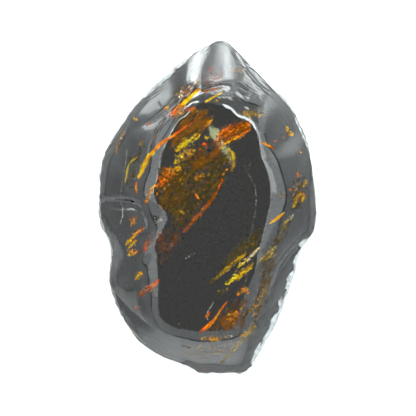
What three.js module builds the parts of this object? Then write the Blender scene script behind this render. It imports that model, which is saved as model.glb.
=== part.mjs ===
// A hand-sized piece of dark amber. Its upper side is ground and polished into a nearly flat face with
// steep shoulders, its underside keeps the natural crust, and the crust is ground flat where it rests.
// Millimetres, +Z up. The stone lies on the ground face, and its pointed end is towards +Y.
import * as THREE from 'three';
import { mergeVertices } from 'three/addons/utils/BufferGeometryUtils.js';
import { ImprovedNoise } from 'three/addons/math/ImprovedNoise.js';

// Driving dimensions
const LENGTH = 84;
const WIDTH = 54.7;
const THICKNESS = 23;
const RIM_WANDER = 0.5; // how far the broken rim rises and falls
const BASE_SINK = 1.6; // how much crust is ground off to make the resting face
const CELLS = 28; // mesh cells along each side of the box that the stone is shaped from

// Slopes of the polished side, as rise over run
const FACE_SLOPE = 0.075; // of the flat face at its edge
const BAND_SLOPE = 0.16; // of the rounded shoulder where it leaves that edge
const SHOULDER_SLOPE = 0.44; // where the shoulder ends and the flanks begin
const RIM_SHARE = 0.6; // of the thickness, the rim's mean height

// The rim seen from above, from the pointed end clockwise
const RIM = [
  [3.6, 41.9], [5.4, 41.2], [10.4, 35.6], [16, 29.4], [20.8, 24.6], [24, 18.6], [25.9, 12.4],
  [26.8, 5.6], [27.4, -1.1], [27, -5.4], [25.4, -8.4], [23.5, -10.4], [22.8, -12.8], [21.4, -18.2],
  [20, -22.4], [16.9, -30.4], [12.5, -38], [11.2, -41], [8.9, -41.9], [2.5, -41.7], [-2, -41.9],
  [-4.4, -40.2], [-6.8, -38.7], [-10, -37.7], [-13, -36.4], [-15.8, -34.3], [-20.8, -28.4],
  [-23.2, -24.2], [-24.2, -20], [-24.3, -15.6], [-23.9, -12], [-24.6, -8.2], [-26.5, -5.4],
  [-27.3, -2], [-27.3, 5.6], [-26.9, 10], [-26.2, 12.8], [-24.3, 15.8], [-19.5, 23.6],
  [-15.8, 27.6], [-11.4, 31.4], [-7.6, 35.6], [-4.6, 37.8], [-2.2, 39.6], [0, 40.9], [1.6, 41.8],
];

// The edge of the flat polished face, from above its middle clockwise
const FACE = [
  [-0.9, 25.4], [3.3, 24.4], [6.4, 23.3], [7.5, 21.9], [9, 21.5], [11.3, 20.4], [12.6, 17.7], [13, 15],
  [13.6, 11.6], [14.8, 8.1], [15.5, 4], [15.3, -0.8], [14.7, -3.4], [13.2, -9.8], [12.1, -14.8],
  [10.6, -19], [9, -22.9], [8.2, -25.9], [6.6, -29.4], [2.1, -30.5], [-1.7, -30.7], [-6.3, -30.1],
  [-9.4, -29], [-12, -26.3], [-12.8, -23.2], [-12.6, -19.8], [-12.8, -15.6], [-12.8, -11.8],
  [-13.4, -10.2], [-12.7, -8], [-11.5, -6], [-10.3, -4.2], [-9.9, -2.4], [-10.9, -0.8], [-12.6, 0.8],
  [-13.2, 3.6], [-12.4, 6.6], [-12, 9.7], [-11.3, 13.5], [-10.1, 15.8], [-8.2, 19.6], [-7.4, 21],
  [-5.5, 22.8], [-3.2, 24.6],
];

// The foot of the shoulder round that face, where the flanks begin, in the same order
const SHOULDER = [
  [0, 29], [4.5, 29.6], [8, 29], [12, 25.8], [14.8, 21.9], [16.5, 16.4], [18.2, 11.4], [19.3, 6],
  [19.2, 0], [17.6, -8.6], [15.6, -16], [13, -24.6], [10.2, -30.4], [6.4, -33.2], [0, -33.7],
  [-7, -32.7], [-12, -30.3], [-15.6, -27.4], [-16.7, -23], [-16.6, -17], [-16.8, -13.4],
  [-15.8, -10.4], [-14.2, -7], [-13.8, -4], [-15, -0.6], [-16.2, 2.8], [-14.9, 7.6],
  [-14.1, 13.4], [-12.6, 17.4], [-10.1, 21.9], [-5.8, 26.4],
];

// Flanks by compass angle in degrees, counted from +X towards +Y: slope at the shoulder's foot, slope at
// the rim, and how late it steepens from one to the other
const FLANKS = [
  { angle: -170, slope: 0.46, steep: 1.15, turn: 1.6 },
  { angle: -150, slope: 0.48, steep: 1.1, turn: 1.6 },
  { angle: -132, slope: 0.7, steep: 1.0, turn: 2 },
  { angle: -90, slope: 0.76, steep: 0.95, turn: 2 },
  { angle: -58, slope: 0.76, steep: 0.95, turn: 2 },
  { angle: -28, slope: 0.56, steep: 1.15, turn: 2 },
  { angle: 0, slope: 0.46, steep: 1.15, turn: 1.6 },
  { angle: 35, slope: 0.46, steep: 1.0, turn: 1.6 },
  { angle: 62, slope: 0.5, steep: 0.85, turn: 1.2 },
  { angle: 86, slope: 0.52, steep: 0.8, turn: 1.2 },
  { angle: 118, slope: 0.52, steep: 1.0, turn: 1.6 },
  { angle: 150, slope: 0.45, steep: 1.1, turn: 1.6 },
];

// Grooves and creases of the polished side: a path, its width, and its depth
const GROOVES = [
  // the cleft that runs in from the left rim and stops short of the flat face
  { path: [[-29, 0.4], [-22, 0.5], [-17.6, 0.1]], width: 1.1, depth: 1.1 },
  // the dark crease from the upper end of the face down the left flank
  { path: [[-2.6, 28.8], [-6.4, 26], [-10.2, 22.8], [-13.2, 20.6], [-16.8, 19.4]], width: 1.1, depth: 0.45 },
  // the fissure between the face and the pointed end
  { path: [[-4.2, 28.2], [0, 28.9], [4.6, 29.7], [7.4, 29.2], [10.2, 27.4]], width: 0.9, depth: 0.35 },
  // the crease above the broken lower right flank
  { path: [[24.5, -8.4], [20.4, -11.8], [17.4, -16.2], [15.8, -22]], width: 1.2, depth: 0.55 },
  // the crease that parts the lower left lobe from the foot of the stone
  { path: [[-24, -19.8], [-21.8, -22.8], [-17.6, -26.4], [-14, -29.6]], width: 1.2, depth: 0.5 },
];

// Low swellings and hollows left by hand grinding on the flanks: centre, radius and height
const SWELLS = [
  { at: [-24, 7], radius: 3.5, height: 0.25 },
  { at: [-21, -9.5], radius: 3.6, height: 0.5 },
  { at: [23, 2.5], radius: 4.5, height: 0.4 },
  { at: [20.6, 16.6], radius: 4.5, height: -0.4 },
  { at: [-17.4, 22], radius: 4, height: 0.4 },
  { at: [20.6, -15.5], radius: 3.5, height: -0.5 },
  { at: [-1, -38.2], radius: 3.5, height: 0.4 },
];

// The pointed end is fluted: broad ribs run down from the point to the fissure, fanning out a little
const FLUTE_ORIGIN = [3.75, 60]; // where the ribs' lines would meet, beyond the point
const FLUTE_STARTS = 19; // distance from there to the point
const FLUTE_ENDS = 32.5; // distance from there to the fissure
const FLUTE_DEPTH = 0.05;
const FLUTE_SPREAD = 0.272; // radians from one rib to the next
const FLUTE_PHASE = 0.021;

const noise = new ImprovedNoise();
const smooth = (low, high, value) => THREE.MathUtils.smoothstep(value, low, high);

// A closed outline as its distance from the middle at each compass angle
function outline(points) {
  const corners = points.map(([x, y]) => new THREE.Vector3(x, y, 0));
  const curve = new THREE.CatmullRomCurve3(corners, true, 'centripetal');
  const samples = curve.getPoints(1440).map((p) => ({ angle: Math.atan2(p.y, p.x), radius: Math.hypot(p.x, p.y) }));
  samples.sort((a, b) => a.angle - b.angle);
  const first = samples[0];
  const last = samples[samples.length - 1];
  samples.unshift({ angle: last.angle - 2 * Math.PI, radius: last.radius });
  samples.push({ angle: first.angle + 2 * Math.PI, radius: first.radius });
  return (angle) => {
    let low = 0;
    let high = samples.length - 1;
    while (high - low > 1) {
      const middle = (low + high) >> 1;
      if (samples[middle].angle <= angle) low = middle;
      else high = middle;
    }
    const a = samples[low];
    const b = samples[high];
    const share = b.angle > a.angle ? (angle - a.angle) / (b.angle - a.angle) : 0;
    return THREE.MathUtils.lerp(a.radius, b.radius, share);
  };
}

const rimRadius = outline(RIM);
const faceRadius = outline(FACE);
const shoulderRadius = outline(SHOULDER);

// The flank's shape at a compass angle, eased between the stated ones
function flankAt(angle) {
  const degrees = THREE.MathUtils.radToDeg(angle);
  const after = FLANKS.findIndex((flank) => flank.angle > degrees);
  const b = FLANKS[after < 0 ? 0 : after];
  const a = FLANKS[after <= 0 ? FLANKS.length - 1 : after - 1];
  const span = (b.angle - a.angle + 360) % 360;
  const share = smooth(0, span, (degrees - a.angle + 360) % 360);
  return {
    slope: THREE.MathUtils.lerp(a.slope, b.slope, share),
    steep: THREE.MathUtils.lerp(a.steep, b.steep, share),
    turn: THREE.MathUtils.lerp(a.turn, b.turn, share),
  };
}

// Distance from a point to a path of straight stretches
function distanceTo(path, x, y) {
  let nearest = Infinity;
  for (let i = 1; i < path.length; i += 1) {
    const [ax, ay] = path[i - 1];
    const [bx, by] = path[i];
    const along = ((x - ax) * (bx - ax) + (y - ay) * (by - ay)) / ((bx - ax) ** 2 + (by - ay) ** 2);
    const share = THREE.MathUtils.clamp(along, 0, 1);
    nearest = Math.min(nearest, Math.hypot(x - ax - share * (bx - ax), y - ay - share * (by - ay)));
  }
  return nearest;
}

// What hand work and breakage add to or take off the plain profile of the polished side
function relief(x, y) {
  let height = 0;
  for (const { path, width, depth } of GROOVES) {
    height -= depth * Math.exp(-((distanceTo(path, x, y) / width) ** 2));
  }
  for (const { at, radius, height: rise } of SWELLS) {
    height += rise * Math.exp(-((Math.hypot(x - at[0], y - at[1]) / radius) ** 2));
  }
  const reach = Math.hypot(x - FLUTE_ORIGIN[0], y - FLUTE_ORIGIN[1]);
  const bearing = Math.atan2(x - FLUTE_ORIGIN[0], FLUTE_ORIGIN[1] - y);
  const fade = smooth(FLUTE_STARTS - 1, FLUTE_STARTS + 3, reach) * (1 - smooth(FLUTE_ENDS - 3, FLUTE_ENDS, reach));
  const sides = 1 - smooth(0.34, 0.46, Math.abs(bearing - 0.03));
  height += FLUTE_DEPTH * fade * sides * Math.cos((2 * Math.PI * (bearing - FLUTE_PHASE)) / FLUTE_SPREAD);
  return height;
}

// Height of the polished side at a distance from the middle, before its relief
function polishedHeight(distance, angle) {
  const face = faceRadius(angle);
  const shoulder = shoulderRadius(angle);
  const rim = rimRadius(angle);
  const inFace = Math.min(distance / face, 1);
  let height = THICKNESS - (FACE_SLOPE * face * inFace ** 3) / 3;
  const band = shoulder - face;
  const inBand = THREE.MathUtils.clamp((distance - face) / band, 0, 1);
  height -= band * (BAND_SLOPE * inBand + ((SHOULDER_SLOPE - BAND_SLOPE) * inBand ** 2) / 2);
  if (distance > shoulder) {
    const { slope, steep, turn } = flankAt(angle);
    const flank = rim - shoulder;
    const inFlank = Math.min((distance - shoulder) / flank, 1);
    height -= flank * (slope * inFlank + ((steep - slope) * inFlank ** (turn + 1)) / (turn + 1));
  }
  return height;
}

// Height of the rim, where the polish ends and the crust begins
function rimHeight(angle) {
  const wander = RIM_WANDER * (0.6 * Math.sin(2 * angle + 0.7) + 0.4 * Math.sin(5 * angle - 1.1));
  return polishedHeight(rimRadius(angle), angle) + wander;
}

// How far round the section a point of the box lies: 0 in the middle of its top, 2 in the middle of its foot
function sectionShare(point) {
  const ring = Math.max(Math.abs(point.x), Math.abs(point.y));
  if (point.z > 0.999) return ring / 2;
  if (point.z < -0.999) return 2 - ring / 2;
  return 0.5 + (1 - point.z) / 2;
}

// The compass angle of a point of the box, spread evenly round each ring of its cells
function ringAngle({ x, y }) {
  if (x === 0 && y === 0) return 0;
  if (Math.abs(x) >= Math.abs(y)) return (Math.PI / 4) * (y / x) + (x < 0 ? Math.PI : 0);
  return Math.PI / 2 - (Math.PI / 4) * (x / y) + (y < 0 ? Math.PI : 0);
}

// Where along the section, in the same shares, the face, the shoulder and the flanks end
const FACE_ENDS = 9 / CELLS;
const SHOULDER_ENDS = 14 / CELLS;
const FLANK_ENDS = 25 / CELLS;

// Moves a point of the box to its place on the stone, so that its rings of cells follow the face's edge,
// the shoulder's foot and the rim
function toStone(point) {
  const along = sectionShare(point);
  const turned = ringAngle(point);
  const angle = Math.atan2(Math.sin(turned), Math.cos(turned));
  const face = faceRadius(angle);
  const shoulder = shoulderRadius(angle);
  const rim = rimRadius(angle);
  const part = (from, to) => THREE.MathUtils.clamp((along - from) / (to - from), 0, 1);
  if (along > FLANK_ENDS) return underside(part(FLANK_ENDS, 2), angle, rim);
  const distance =
    face * part(0, FACE_ENDS) +
    (shoulder - face) * part(FACE_ENDS, SHOULDER_ENDS) +
    (rim - shoulder) * part(SHOULDER_ENDS, FLANK_ENDS);
  const x = distance * Math.cos(angle);
  const y = distance * Math.sin(angle);
  const worked = 1 - smooth(0.93, 1, distance / rim);
  const wander = (rimHeight(angle) - polishedHeight(rim, angle)) * part(SHOULDER_ENDS, FLANK_ENDS) ** 3;
  return new THREE.Vector3(x, y, polishedHeight(distance, angle) + wander + worked * relief(x, y));
}

// The crusted underside, from the rim inwards. It would sag below the resting face if it were not ground off.
function underside(part, angle, rim) {
  const turn = (part * Math.PI) / 2;
  const distance = rim * Math.cos(turn) ** 0.77;
  const belly = Math.sin(turn) ** 1.18;
  const height = rimHeight(angle) - (rimHeight(angle) + BASE_SINK) * belly;
  return new THREE.Vector3(distance * Math.cos(angle), distance * Math.sin(angle), height);
}

// How much of the natural crust a point carries: all of the underside, and the broken edge of the rim
function crustShare(point) {
  const angle = Math.atan2(point.y, point.x);
  const above = point.z - rimHeight(angle);
  return 1 - smooth(-2.2, 0.8, above);
}

// The way the crust bulges at a point: square to an egg of the stone's own size, so that its lumps never fold
function bulge({ x, y, z }) {
  const rise = z - RIM_SHARE * THICKNESS;
  return new THREE.Vector3(x / WIDTH ** 2, y / LENGTH ** 2, rise / THICKNESS ** 2).normalize();
}

// The crust's lumps and scallops
function crustRelief(point) {
  const coarse = noise.noise(point.x / 7.5, point.y / 7.5, point.z / 7.5);
  const fine = noise.noise(point.x / 3.1 + 20, point.y / 3.1, point.z / 3.1);
  return 1.25 * coarse + 0.5 * fine;
}

function amberStone() {
  const geometry = new THREE.BoxGeometry(2, 2, 2, CELLS, CELLS, CELLS);
  geometry.deleteAttribute('normal');
  geometry.deleteAttribute('uv');
  const stone = mergeVertices(geometry);
  const position = stone.getAttribute('position');
  const point = new THREE.Vector3();
  for (let i = 0; i < position.count; i += 1) {
    point.fromBufferAttribute(position, i);
    position.setXYZ(i, ...toStone(point).toArray());
  }
  for (let i = 0; i < position.count; i += 1) {
    point.fromBufferAttribute(position, i);
    point.addScaledVector(bulge(point), crustShare(point) * crustRelief(point));
    position.setXYZ(i, point.x, point.y, Math.max(point.z, 0));
  }
  splitShorter(stone);
  fitTo(stone, WIDTH, LENGTH, THICKNESS);
  return stone;
}

// Splits each four-sided cell of a shape along its shorter diagonal, so that no cell folds
function splitShorter(geometry) {
  const index = geometry.getIndex();
  const position = geometry.getAttribute('position');
  const corner = (i) => new THREE.Vector3().fromBufferAttribute(position, i);
  for (let i = 0; i < index.count; i += 6) {
    const a = index.getX(i);
    const b = index.getX(i + 1);
    const c = index.getX(i + 4);
    const d = index.getX(i + 2);
    if (corner(a).distanceTo(corner(c)) < corner(b).distanceTo(corner(d))) {
      [a, b, c, a, c, d].forEach((value, k) => index.setX(i + k, value));
    }
  }
}

// Brings a shape to its driving size, standing on z = 0 with the middle of its box over the origin
function fitTo(geometry, width, length, thickness) {
  geometry.computeBoundingBox();
  const { min, max } = geometry.boundingBox;
  geometry.translate(-(min.x + max.x) / 2, -(min.y + max.y) / 2, -min.z);
  geometry.scale(width / (max.x - min.x), length / (max.y - min.y), thickness / (max.z - min.z));
}

const amber = new THREE.MeshStandardMaterial({ color: 0x2a1a10, roughness: 0.08, metalness: 0 });

const stoneMesh = new THREE.Mesh(amberStone(), amber);
stoneMesh.name = 'amber_stone';

const specimen = new THREE.Group();
specimen.add(stoneMesh);

export default specimen;
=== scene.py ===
import math
import random

import bmesh
import bpy
import numpy as np
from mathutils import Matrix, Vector, noise
from mathutils.bvhtree import BVHTree


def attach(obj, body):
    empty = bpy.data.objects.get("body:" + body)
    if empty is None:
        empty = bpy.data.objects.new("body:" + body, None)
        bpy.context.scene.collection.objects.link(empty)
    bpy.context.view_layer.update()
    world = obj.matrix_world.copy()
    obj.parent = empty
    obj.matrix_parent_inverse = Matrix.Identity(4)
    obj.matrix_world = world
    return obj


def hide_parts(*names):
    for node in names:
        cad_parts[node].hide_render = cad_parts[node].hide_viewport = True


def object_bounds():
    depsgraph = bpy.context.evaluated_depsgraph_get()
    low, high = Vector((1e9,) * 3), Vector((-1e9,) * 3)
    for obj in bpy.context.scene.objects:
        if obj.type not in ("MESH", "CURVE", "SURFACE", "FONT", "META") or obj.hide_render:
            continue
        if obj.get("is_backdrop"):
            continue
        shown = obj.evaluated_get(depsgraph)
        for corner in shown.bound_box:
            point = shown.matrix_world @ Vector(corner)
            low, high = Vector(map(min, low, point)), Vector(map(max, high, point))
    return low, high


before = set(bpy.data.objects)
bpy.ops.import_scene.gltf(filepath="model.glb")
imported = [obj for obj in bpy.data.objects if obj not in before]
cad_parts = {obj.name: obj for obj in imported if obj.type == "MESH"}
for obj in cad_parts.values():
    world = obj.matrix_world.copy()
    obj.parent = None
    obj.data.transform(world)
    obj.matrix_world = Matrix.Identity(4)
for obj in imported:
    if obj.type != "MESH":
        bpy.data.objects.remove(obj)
cad_low, cad_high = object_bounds()

# The stone's skin. One lump of amber, ground and polished by hand on its upper side, with the
# natural crust left on its underside and along its broken rim. The solid gives its form, and
# this finer skin adds what the wheel, the breaks and the weathering left on it.
MM = 0.001
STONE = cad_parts["amber_stone"]


def broken(path, chips, radius, bite, worn, frost):
    """A stretch of the rim, in mm: its course, its chips with their radii and deepest bite, as a share of
    the radius, how far in the edge is worn, and from 0 to 1 how pale the breaks are."""
    return {"path": path, "chips": chips, "radius": radius, "bite": bite, "worn": worn, "frost": frost}


BREAKS = [
    broken([(24.8, -9.2), (22.9, -13.2), (21.4, -18.2), (20, -22.4), (16.9, -30.4), (12.5, -37.8)],
           60, (1.0, 2.6), 0.7, 2.0, 1.0),
    broken([(12.2, -38), (11.2, -41), (8.9, -41.9), (2.5, -41.7), (-2, -41.9)],
           14, (0.6, 1.6), 0.6, 0.7, 0.45),
    broken([(-4.4, -40.2), (-13, -36.4), (-20.8, -28.4), (-24, -20)], 26, (0.5, 1.3), 0.5, 0.4, 0.25),
    broken([(-24.3, -15.6), (-23.9, -12), (-24.6, -8.2), (-27.2, -3), (-27.3, 5.6), (-26.2, 12.8)],
           34, (0.5, 1.5), 0.6, 0.8, 0.5),
    broken([(-24.3, 15.8), (-19.5, 23.6), (-15.8, 27.6)], 24, (0.8, 2.0), 0.7, 0.6, 0.2),
    broken([(-15.8, 27.6), (-11.4, 31.4), (-4.6, 37.8), (0, 40.9)], 44, (1.0, 2.6), 0.9, 1.5, 0.5),
    broken([(0, 40.9), (3.6, 41.9), (5.4, 41.2)], 10, (0.7, 1.6), 0.5, 0.8, 0.4),
    broken([(5.4, 41.2), (10.4, 35.6), (20.8, 24.6), (25.9, 12.4), (27.4, -1.1), (27, -5.4)],
           24, (0.4, 1.0), 0.3, 0.45, 0.7),
]


def crease(path, width, depth):
    """A fine groove left in the polish, in mm."""
    return {"path": path, "width": width, "depth": depth}


CREASES = [
    crease([(-27.6, 0.6), (-24, 1.1), (-20, 1.0), (-17.4, 0.4)], 0.7, 0.48),
    crease([(-25.4, 0.3), (-21, -0.6), (-18, -0.3), (-16.4, -1.4)], 0.3, 0.16),
    crease([(-17.8, 0.9), (-15.6, -1.2), (-14.6, -3.4), (-14.4, -6.0)], 0.35, 0.18),
    crease([(-2.6, 29.0), (-6.4, 26.2), (-10.2, 22.9), (-13.2, 20.9), (-16.6, 19.6)], 0.34, 0.2),
    crease([(-4.2, 27.6), (-0.8, 28.3), (3.4, 29.6), (5.6, 29.4), (8.4, 27.4), (10.4, 26.0)], 0.32, 0.16),
    crease([(-24, -19.8), (-22.6, -22.2), (-19.6, -25.2), (-16.2, -27.8), (-13.6, -29.8)], 0.42, 0.2),
    crease([(23.4, -9.0), (20.6, -11.6), (18.0, -15.2), (16.6, -18.6), (15.6, -22.4)], 0.4, 0.22),
    crease([(6.2, 39.4), (8.6, 35.2), (12.2, 30.6), (16.6, 26.8)], 0.4, 0.2),
    crease([(-14.0, 31.6), (-9.4, 34.4), (-5.2, 37.4), (-1.6, 39.4)], 0.4, 0.24),
    crease([(-10, 22.2), (-12.1, 19.2), (-13.1, 16.8), (-13.9, 14.6), (-14.4, 11)], 0.32, 0.2),
    crease([(-12.4, 25.8), (-11.8, 24.9), (-11.5, 24.2)], 0.16, 0.12),
    crease([(12.0, 29.4), (12.6, 28.6)], 0.16, 0.12),
]


def refined_skin(source, name, levels):
    """A copy of a faceted solid, as smooth quads cut finer."""
    mesh = source.data.copy()
    mesh.materials.clear()
    shell = bmesh.new()
    shell.from_mesh(mesh)
    bmesh.ops.remove_doubles(shell, verts=shell.verts, dist=0.001 * MM)
    flat = math.radians(80)
    bmesh.ops.join_triangles(shell, faces=shell.faces, angle_face_threshold=flat, angle_shape_threshold=flat)
    for face in shell.faces:
        face.smooth = True
    shell.to_mesh(mesh)
    shell.free()
    piece = bpy.data.objects.new(name, mesh)
    bpy.context.scene.collection.objects.link(piece)
    cut = piece.modifiers.new("finer", "SUBSURF")
    cut.levels = cut.render_levels = levels
    evaluated = piece.evaluated_get(bpy.context.evaluated_depsgraph_get())
    piece.data = bpy.data.meshes.new_from_object(evaluated)
    piece.modifiers.clear()
    return piece


def along_path(path, share):
    """The place at a share of a path's length, and the path's heading there."""
    lengths = [math.dist(a, b) for a, b in zip(path, path[1:])]
    left = share * sum(lengths)
    for (ax, ay), (bx, by), length in zip(path, path[1:], lengths):
        if left <= length or (bx, by) == tuple(path[-1]):
            part = min(left / length, 1)
            return ax + (bx - ax) * part, ay + (by - ay) * part, math.atan2(by - ay, bx - ax)
        left -= length


def eased(value, low, high):
    """0 below low, 1 above high, smooth between."""
    share = np.clip((value - low) / (high - low), 0, 1)
    return share * share * (3 - 2 * share)


def nearest_on(path, place):
    """How far each point lies from a path seen from above, and at what share of the path's length."""
    lengths = [math.dist(a, b) for a, b in zip(path, path[1:])]
    gap = np.full(len(place), np.inf)
    share = np.zeros(len(place))
    walked = 0
    for (ax, ay), (bx, by), length in zip(path, path[1:], lengths):
        part = ((place[:, 0] - ax) * (bx - ax) + (place[:, 1] - ay) * (by - ay)) / length**2
        part = np.clip(part, 0, 1)
        away = np.hypot(place[:, 0] - ax - part * (bx - ax), place[:, 1] - ay - part * (by - ay))
        share = np.where(away < gap, (walked + part * length) / sum(lengths), share)
        gap = np.minimum(gap, away)
        walked += length
    return gap, share


RIM_STEP = 2  # the rim is looked up by bearing, in steps of this many degrees
LAST_STEP = 180 // RIM_STEP - 1


def chip(place, stretch, rim, rng):
    """Knocks one scallop off a stretch of the rim, and returns which points it moved."""
    x, y, _ = along_path(stretch["path"], rng.random())
    radius = rng.uniform(*stretch["radius"])
    seat = rim[max(-LAST_STEP, min(LAST_STEP, int(math.degrees(math.atan2(y, x)) / RIM_STEP)))]
    away = np.array(Vector((x, y, 0)).normalized())
    reach = max(0, radius - rng.uniform(0.3, 1.0) * stretch["bite"])
    lift = rng.uniform(-0.3, 0.6) + 0.5 * (stretch["frost"] > 0.9)
    centre = seat + away * reach + np.array((0, 0, lift * radius))
    offset = (place - centre) / np.array((1, 1, rng.uniform(0.8, 1.3)))
    distance = np.linalg.norm(offset, axis=1)
    within = distance < radius
    place[within] += (radius / np.maximum(distance, 0.05) - 1)[within, None] * offset[within]
    return within


CRUSTED = 0.25  # the skin is all crust where it faces up less than this, from 0 to 1
POLISHED = 0.55  # and all polish where it faces up more than this
SWELL, SWELL_SIZE = 0.22, 1.6  # the crust's broad relief and how far apart it rises, in mm
GRAIN, GRAIN_SIZE = 0.1, 0.5  # the same for its fine grain
ROOM = 0.1  # how far the skin may stand past the solid's box, in mm


def weather(piece):
    """Chips and wears the rim, roughens the crust, and records where the skin is crusted, pale or ground."""
    mesh = piece.data
    count = len(mesh.vertices)
    place = np.empty(count * 3)
    mesh.vertices.foreach_get("co", place)
    place = place.reshape(-1, 3) / MM
    outward = np.empty(count * 3)
    mesh.vertices.foreach_get("normal", outward)
    outward = outward.reshape(-1, 3)
    under = 1 - eased(outward[:, 2], CRUSTED, POLISHED)
    chipped = np.zeros(count)
    worn = np.zeros(count)
    pale = np.zeros(count)
    rng = random.Random(5)
    bearing = np.degrees(np.arctan2(place[:, 1], place[:, 0])).astype(int) // RIM_STEP
    spans = np.hypot(place[:, 0], place[:, 1])
    steps = range(-LAST_STEP, LAST_STEP + 1)
    rim = {step: place[bearing == step][spans[bearing == step].argmax()] for step in steps}
    for stretch in BREAKS:
        for _ in range(stretch["chips"]):
            within = chip(place, stretch, rim, rng)
            chipped[within] = 1
            pale[within] = np.maximum(pale[within], stretch["frost"] * rng.uniform(0.5, 0.9))
        gap, share = nearest_on(stretch["path"], place)
        for index in np.nonzero(gap < 2 * stretch["worn"])[0]:
            spot = Vector(place[index])
            width = stretch["worn"] * (0.85 + 0.7 * noise.noise(spot / 2.4) + 0.3 * noise.noise(spot / 0.7))
            here = 1 - eased(gap[index], 0.5 * max(width, 0.1), max(width, 0.1))
            worn[index] = max(worn[index], here)
            pale[index] = max(pale[index], stretch["frost"] * here * (0.75 + 0.5 * noise.noise(spot / 0.9)))
    polished = (under < 0.05) & (chipped == 0)
    for groove in CREASES:
        gap, share = nearest_on(groove["path"], place)
        ends = eased(share, 0, 0.15) * (1 - eased(share, 0.85, 1))
        cut = groove["depth"] * ends * np.exp(-((gap / groove["width"]) ** 2)) * polished
        place -= outward * cut[:, None]
    coarse = np.maximum(under, np.maximum(0.35 * chipped, 0.3 * worn)) * (1 - 0.6 * np.clip(pale, 0, 1))
    for index in np.nonzero(coarse > 0.02)[0]:
        spot = Vector(place[index])
        rough = SWELL * noise.fractal(spot / SWELL_SIZE, 1.0, 2.1, 4) + GRAIN * noise.noise(spot / GRAIN_SIZE)
        place[index] += outward[index] * rough * coarse[index]
    ground = eased(0.25 - place[:, 2], 0, 0.25)
    place[:, 2] = np.maximum(place[:, 2], 0)
    for axis, (low, high) in enumerate(zip(cad_low, cad_high)):
        place[:, axis] = np.clip(place[:, axis], low / MM - ROOM, high / MM + ROOM)
    mesh.vertices.foreach_set("co", (place * MM).ravel())
    crust = np.maximum(under, np.maximum(0.62 * chipped, 0.8 * worn))
    for name, values in (("crust", crust), ("ground", ground), ("frost", np.clip(pale, 0, 1))):
        mesh.attributes.new(name, "FLOAT", "POINT").data.foreach_set("value", values)
    mesh.update()


skin = refined_skin(STONE, "amber_skin", 2)
weather(skin)


class Wire:
    """A shader socket that sums and products are written with, as plain expressions."""

    def __init__(self, tree, made=None, out=0):
        self.tree = tree
        self.made = made
        self.out = out

    def node(self, kind, settings=None, values=None, out=0):
        """Adds a node: its type, its settings, and the values or links of its sockets."""
        made = self.tree.nodes.new(kind)
        for key, value in (settings or {}).items():
            setattr(made, key, value)
        for key, value in (values or {}).items():
            socket = made.inputs[key]
            if isinstance(value, Wire):
                self.tree.links.new(value.made.outputs[value.out], socket)
            elif socket.type == "RGBA":
                socket.default_value = (*value, 1)
            else:
                socket.default_value = value
        return Wire(self.tree, made, out)

    def output(self, out):
        """Another output of the same node."""
        return Wire(self.tree, self.made, out)

    def math(self, operation, *values):
        return self.node("ShaderNodeMath", {"operation": operation}, dict(enumerate(values)))

    def __add__(self, other):
        return self.math("ADD", self, other)

    def __mul__(self, other):
        return self.math("MULTIPLY", self, other)

    def __sub__(self, other):
        return self.math("SUBTRACT", self, other)

    def __rsub__(self, other):
        return self.math("SUBTRACT", other, self)

    def __truediv__(self, other):
        return self.math("DIVIDE", self, other)

    __radd__ = __add__
    __rmul__ = __mul__

    def between(self, low, high):
        """0 below low, 1 above high, eased between."""
        span = {"Value": self, "From Min": low, "From Max": high}
        return self.node("ShaderNodeMapRange", {"interpolation_type": "SMOOTHSTEP"}, span)

    def blend(self, low, high):
        """The colour low where this is 0, and high where it is 1."""
        return self.node("ShaderNodeMix", {"data_type": "RGBA"}, {0: self, 6: low, 7: high}, out=2)


def new_material(name):
    material = bpy.data.materials.new(name)
    material.use_nodes = True
    material.node_tree.nodes.clear()
    return material, Wire(material.node_tree)


AMBER_TINT = (0.81, 0.67, 0.15)
AMBER_DENSITY = 1000.0  # per metre
REFRACTION = 1.54
BURIED_DIRT = (0.012, 0.010, 0.009)
DIRT = (0.06, 0.045, 0.032)
GROUND_FACE = (0.035, 0.024, 0.016)
FROST = (0.34, 0.37, 0.38)


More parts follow.
